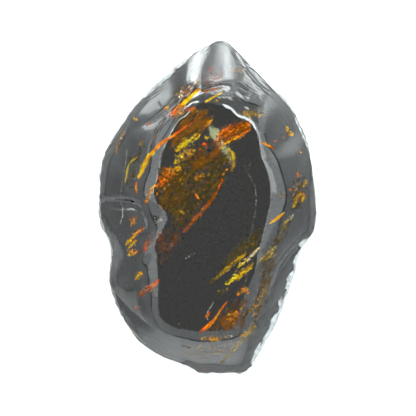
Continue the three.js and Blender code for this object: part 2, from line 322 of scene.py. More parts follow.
def amber_material():
    """Polished amber, with a weathered rind wherever the skin is crusted."""
    material, wire = new_material("polished_amber")
    place = wire.node("ShaderNodeTexCoord", out=3)
    split = wire.node("ShaderNodeSeparateXYZ", values={0: place})
    x = split.output(0) / MM
    y = split.output(1) / MM
    crust = wire.node("ShaderNodeAttribute", {"attribute_name": "crust"}, out=2)
    ground = wire.node("ShaderNodeAttribute", {"attribute_name": "ground"}, out=2)
    frost = wire.node("ShaderNodeAttribute", {"attribute_name": "frost"}, out=2)

    def cloud(scale, detail=3.0):
        return wire.node("ShaderNodeTexNoise", values={"Vector": place, "Scale": scale, "Detail": detail})

    # Fine ribs that the wheel left at the point and in a narrow comb on the right shoulder
    comb = y.between(16.0, 20.0) * x.between(12.5, 14.0) * (1.0 - x.between(16.5, 18.0))
    tip = y.between(25.5, 28.0) * (1.0 - x.between(11.0, 13.0))
    ribbed = wire.math("MAXIMUM", tip, comb)
    ridge = wire.math("ABSOLUTE", x - 1.5)
    ribs = wire.math("SINE", 8.4 * y + 5.5 * ridge + 9.0 * cloud(160)) * ribbed
    relief = ribs * 0.012 + cloud(150, 1.0) * 0.015
    polish = wire.node("ShaderNodeBump", values={"Height": relief, "Distance": MM, "Strength": 1.0})
    amber = wire.node(
        "ShaderNodeBsdfPrincipled",
        values={
            "Base Color": (1, 1, 1),
            "Roughness": cloud(150).between(0.2, 0.9) * 0.05 + 0.02,
            "IOR": REFRACTION,
            "Transmission Weight": 1.0,
            "Normal": polish,
        },
    )
    pits = cloud(1500, 6.0) * 0.14 + cloud(5200) * 0.05
    grain = wire.node("ShaderNodeBump", values={"Height": pits, "Distance": MM, "Strength": 1.0})
    weathered = cloud(260).between(0.35, 0.65).blend(BURIED_DIRT, DIRT)
    soiled = (ground * 0.8).blend(weathered, GROUND_FACE)
    flecked = frost * (0.55 + 0.45 * cloud(900).between(0.38, 0.6))
    rind = wire.node(
        "ShaderNodeBsdfPrincipled",
        values={
            "Base Color": flecked.blend(soiled, FROST),
            "Roughness": cloud(500).between(0.3, 0.7) * 0.25 + 0.3,
            "IOR": REFRACTION,
            "Specular IOR Level": 0.3,
            "Normal": grain,
        },
    )
    crusted = (crust + 0.35 * (cloud(700) - 0.5)).between(0.42, 0.66)
    surface = wire.node("ShaderNodeMixShader", values={0: crusted, 1: amber, 2: rind})
    depth = wire.node("ShaderNodeVolumeAbsorption", values={"Color": AMBER_TINT, "Density": AMBER_DENSITY})
    wire.node("ShaderNodeOutputMaterial", values={"Surface": surface, "Volume": depth})
    return material


skin.data.materials.append(amber_material())
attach(skin, "root")
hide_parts("amber_stone")


# The flow seams. Fresh resin ran over set resin and caught bark dust and gas between the layers, and
# stress split those seams into bright flakes, drawn out along the flow. Some are sealed in the amber.
# The ones that the polish cut open, and the films of clouded resin, lie just over the polished skin.
# A few pale and grey lines of open flakes along the dark pool's edges are painted highlights, not seams.
PALE = (0.62, 0.68, 0.58)
LEMON = (0.90, 0.60, 0.012)
GOLD = (0.92, 0.47, 0.012)
AMBER = (0.95, 0.34, 0.012)
ORANGE = (0.90, 0.19, 0.008)
EMBER = (0.75, 0.08, 0.008)
RUST = (0.26, 0.065, 0.008)
OLIVE = (0.22, 0.145, 0.014)
MOSS = (0.11, 0.085, 0.016)
LIMY = (0.55, 0.72, 0.06)
# This grey is dust in the seams and marks, and also a painted highlight along the dark pool's right and upper
# left edges.
DUST_AND_HIGHLIGHT = (0.15, 0.155, 0.145)
PITCH = (0.03, 0.022, 0.015)

# How deep a seam's sealed flakes lie in mm, from and to, and the share that the polish cut open
SKIN = (0.0, 0.0, 1.0)
NEAR = (0.3, 0.8, 0.85)
MIDDLE = (0.5, 1.2, 0.7)
DEEP = (0.8, 1.7, 0.35)


def seam(path, depth, spread, count, long, *tints):
    """A seam, in mm: its course, its depth, how far it spreads, its flakes and their length, its colours."""
    return {"path": path, "depth": depth, "spread": spread, "count": count, "long": long, "tints": tints}


SEAMS = [
    seam([(-17.2, 7.1), (-16.5, 8.6), (-15.6, 10.5), (-14.7, 12.4), (-13.4, 13.9)],
         NEAR, 0.27, 380, 1.3, GOLD, GOLD, GOLD, AMBER),
    seam([(-14.2, 13.0), (-11.9, 15.3), (-10.0, 16.8), (-8.0, 18.0)],
         NEAR, 0.26, 240, 1.2, AMBER, ORANGE, ORANGE),
    seam([(-8.4, 17.8), (-6.2, 19.3), (-4.4, 20.4), (-2.8, 21.8), (-2.2, 23.3)],
         NEAR, 0.2, 190, 1.0, EMBER, EMBER, RUST, RUST),
    seam([(-17.7, 5.9), (-17.7, 4.6), (-17.6, 3.4)], NEAR, 0.12, 50, 0.7, ORANGE, ORANGE),
    seam([(-9.3, 22.6), (-7.4, 24.3), (-5.8, 25.7), (-4.6, 26.9)],
         NEAR, 0.42, 330, 1.1, EMBER, ORANGE, AMBER, GOLD),
    seam([(-6.2, 25.6), (-4.8, 26.8), (-3.4, 28.0), (-2.2, 29.1)],
         NEAR, 0.26, 220, 1.2, GOLD, LEMON, GOLD, AMBER),
    seam([(-9.0, 23.8), (-6.8, 25.7), (-4.8, 27.6), (-2.4, 29.4)], NEAR, 0.16, 120, 1.0, RUST, PITCH, RUST),
    seam([(-2.4, 29.3), (0.0, 28.7), (1.6, 29.3), (3.8, 29.7)],
         NEAR, 0.14, 90, 0.7, AMBER, RUST, ORANGE, PITCH),
    seam([(-10.2, 22.0), (-12.2, 19.2), (-13.2, 17.1), (-13.9, 15.2)],
         NEAR, 0.07, 70, 0.8, PITCH, RUST, PITCH),
    seam([(-0.5, 26.0), (1.8, 27.4), (4.0, 28.7)], NEAR, 0.14, 100, 1.0, GOLD, LEMON, LEMON),
    seam([(2.2, 26.6), (3.2, 26.2)], NEAR, 0.16, 30, 0.4, GOLD, OLIVE),
    seam([(-8.2, 28.8), (-7.2, 27.2), (-6.0, 28.2), (-3.6, 30.0)],
         NEAR, 0.75, 190, 0.5, OLIVE, GOLD, ORANGE, GOLD),
    seam([(-10.8, 24.1), (-9.6, 24.9)], NEAR, 0.28, 40, 0.6, AMBER, GOLD),
    seam([(-3.0, 30.6), (-2.2, 31.6)], NEAR, 0.2, 30, 0.5, GOLD, AMBER),
    seam([(-5.0, 23.9), (-4.0, 24.2), (-3.0, 24.7)], NEAR, 0.3, 80, 0.6, EMBER, ORANGE),
    seam([(-8.6, 22.0), (-6.6, 23.2), (-5.4, 24.4)], NEAR, 0.5, 110, 0.5, RUST, AMBER, PITCH),
    seam([(-15.3, 0.8), (-14.6, 3.0), (-13.8, 4.4), (-12.8, 5.4)],
         NEAR, 0.4, 190, 0.6, EMBER, AMBER, GOLD, ORANGE),
    seam([(-12.2, 4.6), (-10.8, 7.2), (-8.6, 8.8), (-6.6, 9.9)],
         MIDDLE, 0.85, 620, 0.6, ORANGE, EMBER, ORANGE, ORANGE, GOLD),
    seam([(-7.9, 13.9), (-6.2, 15.3), (-4.4, 16.5), (-1.8, 18.0)],
         MIDDLE, 0.5, 420, 0.6, GOLD, LEMON, LEMON, GOLD),
    seam([(-8.2, 10.7), (-6.0, 12.7), (-3.0, 14.1)], MIDDLE, 0.7, 330, 0.5, LEMON, GOLD, AMBER, GOLD),
    seam([(-3.4, 7.0), (-0.5, 7.8)], NEAR, 0.42, 90, 0.5, GOLD, ORANGE, GOLD),
    seam([(-2.9, 3.2), (-2.0, 1.8)], NEAR, 0.18, 36, 0.6, ORANGE, ORANGE),
    seam([(-6.9, -1.0), (-5.6, -1.8)], NEAR, 0.14, 26, 0.6, OLIVE, GOLD),
    seam([(-0.4, 20.0), (1.2, 21.6)], NEAR, 0.26, 60, 0.7, ORANGE, AMBER),
    seam([(2.0, 16.4), (3.6, 17.8), (6.4, 19.4), (10.6, 20.6)],
         MIDDLE, 0.85, 380, 1.2, EMBER, ORANGE, RUST, RUST, ORANGE),
    seam([(3.2, 14.4), (4.8, 15.9), (8.0, 17.5), (10.8, 19.2)],
         NEAR, 0.22, 170, 0.9, AMBER, GOLD, ORANGE, ORANGE),
    seam([(3.2, 18.0), (5.8, 19.8)], NEAR, 0.35, 80, 1.0, ORANGE, EMBER),
    seam([(-1.2, 15.4), (-0.2, 15.6)], NEAR, 0.3, 44, 0.4, EMBER, EMBER),
    seam([(5.4, 14.6), (6.7, 12.6), (6.6, 10.2), (6.1, 8.8)],
         MIDDLE, 0.3, 200, 0.45, GOLD, LEMON, GOLD, OLIVE),
    seam([(-0.8, 16.8), (1.0, 17.4)], NEAR, 0.35, 40, 0.4, LEMON, GOLD),
    seam([(-6.0, -6.2), (-3.0, -3.2), (0.2, 0.6), (2.8, 4.4), (3.8, 6.9)],
         DEEP, 0.34, 200, 1.2, EMBER, ORANGE, RUST, EMBER),
    seam([(-13.0, -6.6), (-11.4, -8.4), (-10.4, -11.4)], DEEP, 1.1, 200, 0.5, RUST, RUST, RUST),
    seam([(-20.2, -9.6), (-17.8, -6.8), (-15.8, -5.4)], NEAR, 0.3, 150, 1.0, GOLD, AMBER, EMBER),
    seam([(-19.6, -10.4), (-17.6, -8.4)], NEAR, 0.2, 60, 0.8, GOLD, AMBER),
    seam([(-19.0, -4.8), (-17.9, -2.3)], NEAR, 0.34, 80, 0.7, AMBER, ORANGE),
    seam([(-19.8, -12.2), (-18.8, -11.2), (-17.4, -11.4)], NEAR, 0.5, 230, 0.5, GOLD, AMBER, ORANGE),
    seam([(-15.8, -11.2), (-14.3, -7.6)], NEAR, 0.4, 100, 0.7, EMBER, ORANGE),
    seam([(-17.9, -18.2), (-17.1, -17.3), (-16.3, -16.5)], NEAR, 0.42, 170, 0.5, GOLD, GOLD, AMBER),
    seam([(-17.2, -22.4), (-14.4, -20.4), (-12.1, -18.6)], NEAR, 0.36, 200, 1.0, RUST, ORANGE, EMBER),
    seam([(-18.0, -25.9), (-16.8, -25.1)], NEAR, 0.2, 30, 0.5, EMBER, RUST),
    seam([(0.3, -19.4), (2.8, -17.4), (6.1, -14.6), (9.9, -11.6)],
         NEAR, 0.3, 220, 1.1, MOSS, OLIVE, GOLD, OLIVE),
    seam([(4.7, -19.5), (7.2, -17.7), (10.5, -15.4), (11.6, -14.2)],
         NEAR, 0.42, 340, 1.0, LEMON, LEMON, GOLD, OLIVE),
    seam([(7.7, -15.3), (10.5, -12.9), (13.0, -10.4)], NEAR, 0.26, 170, 0.7, LEMON, GOLD, PALE, GOLD),
    seam([(2.6, -22.1), (5.0, -20.4)], MIDDLE, 0.4, 50, 0.8, MOSS, OLIVE),
    seam([(12.7, -13.9), (15.4, -12.2), (17.4, -9.9)], NEAR, 0.45, 170, 0.5, OLIVE, GOLD, LEMON, PALE),
    seam([(7.6, -22.4), (9.4, -20.4), (10.4, -21.8)], NEAR, 0.4, 150, 0.5, ORANGE, AMBER, ORANGE),
    seam([(-1.7, -31.4), (0.6, -29.7), (2.2, -28.0)], NEAR, 0.24, 170, 1.0, EMBER, ORANGE, ORANGE),
    seam([(1.2, -28.8), (2.5, -27.3), (3.6, -25.6), (5.0, -23.9)],
         NEAR, 0.14, 110, 0.8, ORANGE, AMBER, ORANGE, EMBER),
    seam([(-0.2, -27.8), (0.6, -26.4)], NEAR, 0.16, 40, 0.6, ORANGE, EMBER),
    seam([(3.6, -29.8), (5.6, -28.4), (7.6, -26.4)], MIDDLE, 0.9, 260, 0.6, RUST, AMBER, ORANGE),
    seam([(-1.7, -33.0), (1.9, -33.3), (6.6, -32.4)], NEAR, 0.34, 190, 0.45, GOLD, AMBER, OLIVE, PALE),
    seam([(0.6, -33.0), (2.8, -33.2)], NEAR, 0.34, 90, 0.5, AMBER, GOLD),
    seam([(8.4, -32.6), (10.6, -31.2), (12.2, -29.9)], NEAR, 0.5, 150, 0.45, AMBER, GOLD, GOLD),
    seam([(3.8, -38.9), (5.2, -37.4), (7.7, -34.7), (9.9, -31.9), (12.4, -29.7)],
         NEAR, 0.16, 130, 0.8, OLIVE, LEMON, OLIVE),
    seam([(10.4, -26.6), (12.4, -24.2), (14.3, -21.4), (16.0, -16.6)],
         NEAR, 0.5, 170, 0.8, OLIVE, GOLD, OLIVE, OLIVE),
    seam([(10.0, -33.6), (11.8, -28.6), (13.2, -24.6)], MIDDLE, 0.4, 120, 0.9, OLIVE, OLIVE, OLIVE),
    seam([(15.8, -4.2), (17.6, -2.9), (19.2, -1.7)], NEAR, 0.2, 120, 0.9, GOLD, AMBER, GOLD),
    seam([(18.6, -5.9), (20.0, -3.6), (21.7, -2.0)], NEAR, 0.35, 100, 0.4, OLIVE, LEMON, PALE),
    seam([(21.6, -0.2), (22.2, 1.6), (23.3, 3.3), (24.3, 3.0), (23.8, 1.2)],
         NEAR, 0.3, 260, 0.5, GOLD, OLIVE, AMBER, GOLD),
    seam([(24.1, 4.6), (24.9, 6.6)], NEAR, 0.2, 50, 0.6, OLIVE, GOLD),
    seam([(17.4, 2.2), (19.6, 3.3)], MIDDLE, 0.5, 60, 0.7, MOSS, OLIVE),
    seam([(20.6, 4.2), (21.1, 4.3)], NEAR, 0.16, 16, 0.4, ORANGE, ORANGE),
    seam([(19.9, 20.0), (20.4, 18.6), (21.0, 17.8), (21.7, 18.3)],
         NEAR, 0.28, 120, 0.45, GOLD, GOLD, AMBER),
    seam([(18.9, 17.3), (19.4, 17.6)], NEAR, 0.2, 20, 0.4, AMBER, OLIVE),
    seam([(13.6, 16.0), (15.0, 15.5), (16.5, 14.6)], NEAR, 0.2, 60, 0.9, AMBER, ORANGE),
    seam([(16.8, 16.3), (17.3, 16.4)], NEAR, 0.14, 14, 0.4, ORANGE, ORANGE),
    seam([(9.0, 23.5), (11.4, 22.9), (13.8, 23.1)], NEAR, 0.6, 210, 0.6, OLIVE, GOLD, OLIVE, GOLD),
    seam([(-22.8, 13.4), (-22.1, 16.0), (-20.7, 18.8)], NEAR, 0.18, 90, 0.5, AMBER, OLIVE, GOLD),
    seam([(-18.3, 22.1), (-17.6, 21.5)], NEAR, 0.26, 36, 0.45, GOLD, AMBER),
    seam([(-15.0, 20.3), (-14.0, 20.9)], NEAR, 0.12, 30, 0.7, ORANGE, ORANGE),
    seam([(-13.1, 17.0), (-12.9, 17.5)], NEAR, 0.12, 14, 0.4, ORANGE, AMBER),
    seam([(-16.8, 15.4), (-16.2, 16.4)], NEAR, 0.3, 30, 0.4, OLIVE, GOLD),
    seam([(-20.5, 6.0), (-20.1, 8.0), (-19.8, 9.8), (-19.1, 11.1), (-17.5, 12.5)],
         NEAR, 0.1, 110, 0.8, OLIVE, LEMON, LIMY, OLIVE, GOLD),
    seam([(-1.2, 31.2), (2.2, 32.2), (4.6, 33.2)], DEEP, 1.1, 150, 0.35, RUST, EMBER, RUST),
    seam([(0.6, 34.3), (1.4, 34.6)], NEAR, 0.2, 26, 0.4, EMBER, EMBER),
    seam([(2.0, 31.8), (2.6, 32.1)], NEAR, 0.18, 26, 0.4, EMBER, EMBER),
    seam([(6.6, 34.2), (8.0, 33.4), (9.2, 34.4)], NEAR, 0.5, 60, 0.35, ORANGE, GOLD, AMBER),
    seam([(-11.6, -36.6), (-8.0, -37.0), (-4.4, -35.8), (-0.4, -40.6)],
         NEAR, 0.6, 70, 0.35, ORANGE, AMBER, GOLD, ORANGE),
    seam([(23.5, 13.7), (23.5, 13.3)], NEAR, 0.14, 14, 0.4, GOLD, AMBER),
    seam([(22.7, 8.6), (22.9, 7.4)], NEAR, 0.16, 34, 0.5, EMBER, ORANGE),
    seam([(-19.9, 14.2), (-20.3, 11.4), (-20.8, 8.3), (-21.4, 4.9), (-21.7, 1.8)],
         SKIN, 0.05, 80, 0.4, PALE, DUST_AND_HIGHLIGHT, PALE),
    seam([(-21.7, 1.6), (-21.1, -0.1), (-21.0, -2.3), (-21.7, -4.4)],
         SKIN, 0.06, 60, 0.5, DUST_AND_HIGHLIGHT, PALE, PALE),
    # A painted highlight: these two lines of pale open flakes trace the bright edge of the dark pool's upper
    # left side.
    seam([(-4.1, 24.1), (-5.3, 22.7), (-7.2, 21.4), (-8.1, 19.9), (-9.1, 18.3), (-9.8, 16.8)],
         SKIN, 0.06, 100, 0.7, PALE, PALE, PALE),
    seam([(-9.8, 16.8), (-10.6, 14.9), (-11.3, 13.0), (-11.7, 10.5), (-12.3, 8.0), (-12.8, 5.8)],
         SKIN, 0.03, 90, 0.7, PALE, DUST_AND_HIGHLIGHT, PALE),
    # A painted highlight: this line and the one after it, of grey open flakes, trace the bright edge of the
    # dark pool's right side.
    seam([(9.4, 9.4), (11.0, 7.1), (12.0, 5.0), (12.4, 1.8), (12.0, -1.8), (11.2, -6.0), (9.4, -12.0)],
         SKIN, 0.04, 120, 0.6, DUST_AND_HIGHLIGHT, DUST_AND_HIGHLIGHT, DUST_AND_HIGHLIGHT),
    seam([(10.5, -15.9), (9.0, -21.0), (8.4, -25.6)], SKIN, 0.04, 50, 0.5, DUST_AND_HIGHLIGHT, OLIVE),
    seam([(1.7, -23.9), (0.9, -25.2), (0.2, -26.2), (-0.5, -27.4), (0.2, -28.2)],
         SKIN, 0.05, 40, 0.45, DUST_AND_HIGHLIGHT, PALE, DUST_AND_HIGHLIGHT),
    seam([(-5.7, -13.2), (-4.2, -12.2), (-2.5, -11.4)], SKIN, 0.2, 16, 0.3, PALE, DUST_AND_HIGHLIGHT, PALE),
    seam([(-12.2, -23.0), (-6.0, -14.0)], SKIN, 2.5, 12, 0.2, PALE, DUST_AND_HIGHLIGHT),
    seam([(4.0, 12.0), (12.0, -6.0)], SKIN, 2.5, 16, 0.2, DUST_AND_HIGHLIGHT, MOSS),
    seam([(8.6, 9.6), (12.4, 10.6)], SKIN, 0.6, 20, 0.25, DUST_AND_HIGHLIGHT, PALE),
    seam([(-13.6, -2.4), (-12.4, -2.9), (-11.3, -3.5)], SKIN, 0.3, 60, 0.5, PITCH, PITCH, PALE),
    seam([(-6.2, -34.8), (-4.2, -35.3)], SKIN, 0.25, 24, 0.4, PITCH, OLIVE, PITCH),
    seam([(-7.3, -29.5), (-6.9, -29.3)], SKIN, 0.12, 8, 0.3, PITCH, PALE),
]


def cloud(edge, depth, count, long, *tints):
    """A broad seam, in mm: its outline, its depth from and to, its flakes and their length, its colours."""
    return {"edge": edge, "depth": depth, "count": count, "long": long, "tints": tints}


MAIN_SEAM = [(-11.9, 10.5), (-12.5, 7.0), (-13.3, 3.6), (-13.0, 0.6), (-9.4, -2.3), (-8.7, -4.8),
             (-6.3, -6.4), (0.4, 0.6), (3.8, 5.2), (6.3, 8.5), (7.0, 11.0), (6.8, 13.2), (5.0, 15.2),
             (1.8, 12.8), (-1.6, 16.6), (-8.4, 10.2)]
UPPER_LEFT_SEAM = [(-9.0, 17.8), (-7.4, 21.0), (-3.8, 24.6), (1.2, 24.8), (1.6, 21.4), (-1.0, 18.0),
                   (-4.6, 14.6), (-8.8, 12.4), (-9.8, 14.6)]
UPPER_RIGHT_SEAM = [(1.4, 16.0), (3.2, 18.7), (5.2, 20.3), (8.6, 21.6), (10.9, 21.4), (11.1, 19.2),
                    (7.4, 16.4), (4.8, 15.0), (3.0, 14.2)]
LEFT_SEAM = [(-9.6, -4.4), (-6.0, -6.2), (-5.4, -9.4), (-8.6, -12.2), (-12.2, -16.6), (-13.0, -13.0),
             (-12.8, -7.4)]
RIGHT_SEAM = [(0.3, -19.5), (5.0, -12.0), (10.4, -6.4), (14.3, -4.3), (13.2, -10.6), (7.2, -15.3),
              (2.8, -17.8)]
FOOT_SEAM = [(-1.0, -31.6), (2.4, -27.2), (7.2, -23.2), (11.2, -22.6), (9.8, -30.6), (5.4, -31.8)]
LEFT_FLANK = [(-20.6, 12.4), (-17.8, 13.4), (-16.6, 16.8), (-15.0, 15.0), (-17.4, 9.4), (-18.0, 4.4),
              (-20.6, 4.6)]
RIGHT_FLANK = [(9.4, -34.4), (12.4, -24.4), (12.8, -13.8), (17.0, -6.6), (20.6, -1.8), (21.4, -4.4),
               (18.4, -11.6), (16.6, -20.4), (13.0, -29.6)]
RIGHT_LOBE = [(20.8, 4.2), (22.4, 8.6), (24.6, 7.4), (25.0, 2.4), (23.4, -1.4), (21.2, -1.2)]
FOOT_RIM = [(-6.6, -36.2), (2.4, -33.8), (9.8, -33.4), (8.0, -37.0), (0.0, -38.6)]
LEFT_GLOW = [(-12.2, 9.0), (-13.2, 3.6), (-12.9, 0.8), (-9.4, -2.0), (-4.6, 0.6), (-3.4, 6.0),
             (-6.4, 10.2)]
ORANGE_WASH = [(-5.0, 11.6), (-1.6, 15.8), (3.4, 17.4), (4.6, 15.2), (3.4, 12.4), (-1.0, 9.0),
               (-4.2, 8.6)]
EMBER_LINE = [(-6.4, -6.0), (-3.4, -2.8), (-0.2, 1.0), (2.6, 5.0), (3.6, 7.6), (4.7, 6.9), (3.6, 4.2),
              (1.0, -0.2), (-2.2, -3.8), (-5.4, -7.0)]

CLOUDS = [
    cloud(MAIN_SEAM, (0.8, 1.8), 2300, 0.8, MOSS, OLIVE, RUST, OLIVE, AMBER),
    cloud(UPPER_LEFT_SEAM, (0.8, 1.8), 1700, 0.9, MOSS, OLIVE, OLIVE, RUST),
    cloud(UPPER_RIGHT_SEAM, (0.8, 1.6), 1500, 1.1, RUST, RUST, RUST),
    cloud(LEFT_SEAM, (1.0, 2.0), 500, 0.7, RUST, DUST_AND_HIGHLIGHT, RUST),
    cloud(RIGHT_SEAM, (0.8, 1.8), 700, 0.9, MOSS, MOSS, OLIVE, OLIVE),
    cloud(FOOT_SEAM, (0.8, 1.6), 600, 0.7, DUST_AND_HIGHLIGHT, OLIVE, RUST, DUST_AND_HIGHLIGHT, AMBER),
    cloud(LEFT_FLANK, (0.6, 1.4), 340, 0.6, MOSS, MOSS, OLIVE),
    cloud(RIGHT_FLANK, (0.6, 1.6), 1900, 0.8, MOSS, MOSS, OLIVE, GOLD),
    cloud(RIGHT_LOBE, (0.6, 1.4), 380, 0.6, MOSS, OLIVE, GOLD),
    cloud(FOOT_RIM, (0.6, 1.4), 1200, 0.6, OLIVE, OLIVE, GOLD),
]


def veil(edge, strength, soft, *tints):
    """A film of clouded resin, in mm: its outline, its density, its edge's softness, its colours."""
    return {"edge": edge, "strength": strength, "soft": soft, "tints": tints}


BROWN = (0.066, 0.030, 0.005)
HONEY = (0.048, 0.032, 0.007)
BURNT = (0.110, 0.032, 0.001)
SMOKY = (0.045, 0.014, 0.002)
SHADE = (0.018, 0.017, 0.004)
VEILS = [
    veil(MAIN_SEAM, 0.48, 1.8, SHADE, BROWN, SHADE, HONEY, BROWN),
    veil(LEFT_GLOW, 0.4, 2.4, BROWN, BROWN),
    veil(UPPER_LEFT_SEAM, 0.48, 1.6, SHADE, BROWN, BURNT, BROWN),
    veil(UPPER_RIGHT_SEAM, 0.55, 1.4, SMOKY, BURNT, BURNT),
    veil(ORANGE_WASH, 0.5, 1.6, BROWN, BURNT, BURNT),
    veil(LEFT_SEAM, 0.2, 2.4, SMOKY, SMOKY, BURNT),
    veil(RIGHT_SEAM, 0.44, 1.6, SHADE, HONEY, HONEY),
    veil(FOOT_SEAM, 0.3, 1.6, SHADE, BROWN, BURNT),
    veil(RIGHT_FLANK, 0.2, 1.4, SHADE, HONEY, BROWN),
    veil(RIGHT_LOBE, 0.2, 1.0, SHADE, HONEY),
    veil(LEFT_FLANK, 0.18, 1.2, SHADE, HONEY),
    veil(EMBER_LINE, 0.6, 0.8, BURNT, BURNT),
]

polish = BVHTree.FromObject(skin, bpy.context.evaluated_depsgraph_get())


def flow_angle(x, y):
    """The direction in which the resin ran at a place in mm, in radians from +X towards +Y."""
    return math.radians(48 - 0.5 * x + 0.05 * y)


def along_flow(x, y):
    """How far along the flow and how far across it a place lies, in mm."""
    angle = flow_angle(x, y)
    return x * math.cos(angle) + y * math.sin(angle), y * math.cos(angle) - x * math.sin(angle)


# The seams are placed as they look from straight above, from this point in mm, at the rim's level
RIM_LEVEL = 13.4
OVERHEAD = Vector((0.25, -0.4, 360.0))


def under_polish(x, y, depth):
    """The point at a depth in mm under the polished side, and the surface's outward direction there."""
    sight = Vector((x, y, RIM_LEVEL)) - OVERHEAD
    hit, normal, _, _ = polish.ray_cast(OVERHEAD * MM, sight.normalized())
    if hit is None or normal.z < CRUSTED:
        return None, None
    return hit - normal * depth * MM, normal


def inside(edge, x, y):
    """Whether a place lies within a closed outline."""
    within = False
    for (ax, ay), (bx, by) in zip(edge, edge[1:] + edge[:1]):
        if (ay > y) != (by > y) and x < (bx - ax) * (y - ay) / (by - ay) + ax:
            within = not within
    return within


def mixed(tints, share):
    """The colour at a share of the way through a list of colours."""
    spot = min(max(share, 0), 0.999) * (len(tints) - 1)
    low = int(spot)
    return [a + (b - a) * (spot - low) for a, b in zip(tints[low], tints[low + 1])]


PITCHING = 0.36  # how far a flake pitches along the flow, as a share of its tilt
LEAST_LEAN = 0.15  # the least that it leans across the flow, as a share of its tilt
BULGE = 0.07  # its half thickness as a share of its width
THINNEST = 0.012  # and the least half thickness, in mm
PALEST = 0.95  # no part of a flake's colour is brighter than this


class Flakes:
    """Thin jagged flakes gathered in one mesh, each vertex with its flake's tint."""

    def __init__(self, seed):
        self.rng = random.Random(seed)
        self.shell = bmesh.new()
        self.tint = self.shell.verts.layers.float_color.new("tint")

    def add(self, centre, normal, angle, length, width, tint, tilt, sides=7):
        """One flake, sized in mm, along the flow, tilted from the polish by up to an angle in radians."""
        rng = self.rng
        run = Vector((math.cos(angle), math.sin(angle), 0))
        run = (run - normal * run.dot(normal)).normalized()
        pitch = rng.gauss(0, PITCHING * tilt)
        run = (run * math.cos(pitch) + normal * math.sin(pitch)).normalized()
        lean = rng.choice((-1, 1)) * rng.uniform(LEAST_LEAN, 1) * tilt
        across = normal.cross(run).normalized()
        across = (across * math.cos(lean) + normal * math.sin(lean)).normalized()
        rim = []
        for side in range(sides):
            turn = 2 * math.pi * (side + rng.uniform(-0.3, 0.3)) / sides
            reach = rng.uniform(0.5, 1.0) * MM / 2
            out = run * (length * reach * math.cos(turn))
            aside = across * (width * reach * math.sin(turn))
            rim.append(self.shell.verts.new(centre + out + aside))
        bulge = run.cross(across) * max(BULGE * width, THINNEST) * MM
        top = self.shell.verts.new(centre + bulge)
        bottom = self.shell.verts.new(centre - bulge)
        for vertex in (*rim, top, bottom):
            vertex[self.tint] = (*tint, 1)
        for side in range(sides):
            a, b = rim[side], rim[(side + 1) % sides]
            self.shell.faces.new((a, b, top))
            self.shell.faces.new((b, a, bottom))

    def lit(self, tints, share, glint):
        """A colour from a list, brightened or dimmed as flakes catch the light."""
        power = self.rng.lognormvariate(-0.35, glint)
        return [min(PALEST, part * power) for part in mixed(tints, share + self.rng.gauss(0, 0.16))]


OPEN_TILT = 0.05  # how far flakes lean out of the polish's plane, in radians
SEALED_TILT = 0.28
OPEN_DIM = 0.52  # an open flake has no amber over it to dim it, so its own colour is darker
PROUD = -0.03  # the depth of an open flake in mm: it stands just off the polish
OPEN_GLINT = 0.65  # how unevenly the flakes of a seam catch the light
SEALED_GLINT = 0.7
CLOUD_GLINT = 0.32
CLOUD_OPEN = 0.4  # the share of a broad seam's flakes that are open
CLOUD_EDGE = 1.2  # how far in from its outline a broad seam thins out, in mm
UNEVEN = (-0.2, 0.4)  # the middle and the spread of the flakes' lengths, as powers of e
CLUMP = (0.9, 0.5)  # how long and how wide the clumps of a narrow seam's flakes are, in mm
PATCH = (3.2, 1.1)  # the same for the patches of a broad seam, and for the smaller ones in them
SMALL_PATCH = (1.0, 0.6)


def clumped(x, y, size, seed):
    """A noise value that is high in clumps drawn out along the flow, with a length and a width in mm."""
    along, across = along_flow(x, y)
    return noise.noise(Vector((along / size[0], across / size[1], seed)))


def seam_flakes(seams, seed):
    """The flakes of the narrow seams: those sealed in the amber, and those that the polish cut open."""
    sealed = Flakes(seed)
    opened = Flakes(seed + 1)
    rng = sealed.rng
    for one in seams:
        shallow, deep, open_share = one["depth"]
        for _ in range(one["count"]):
            share = rng.random()
            x, y, heading = along_path(one["path"], share)
            off = rng.gauss(0, one["spread"]) * (0.35 + math.sin(math.pi * share) * 0.65)
            x -= off * math.sin(heading)
            y += off * math.cos(heading)
            clump = clumped(x, y, CLUMP, seed)
            if one["spread"] > 0.3 and clump < rng.uniform(-0.5, 0.1):
                continue
            length = one["long"] * rng.lognormvariate(*UNEVEN)
            width = min(0.6 * length, rng.uniform(0.09, 0.22))
            angle = heading + rng.gauss(0, 0.16)
            is_open = rng.random() < open_share
            centre, normal = under_polish(x, y, PROUD if is_open else rng.uniform(shallow, deep))
            if centre is None:
                continue
            if is_open:
                tint = [part * OPEN_DIM for part in opened.lit(one["tints"], share, OPEN_GLINT)]
                opened.add(centre, normal, angle, 0.8 * length, width, tint, OPEN_TILT)
            else:
                tint = sealed.lit(one["tints"], share, SEALED_GLINT)
                sealed.add(centre, normal, angle, length, width, tint, SEALED_TILT)
    return sealed.shell, opened.shell


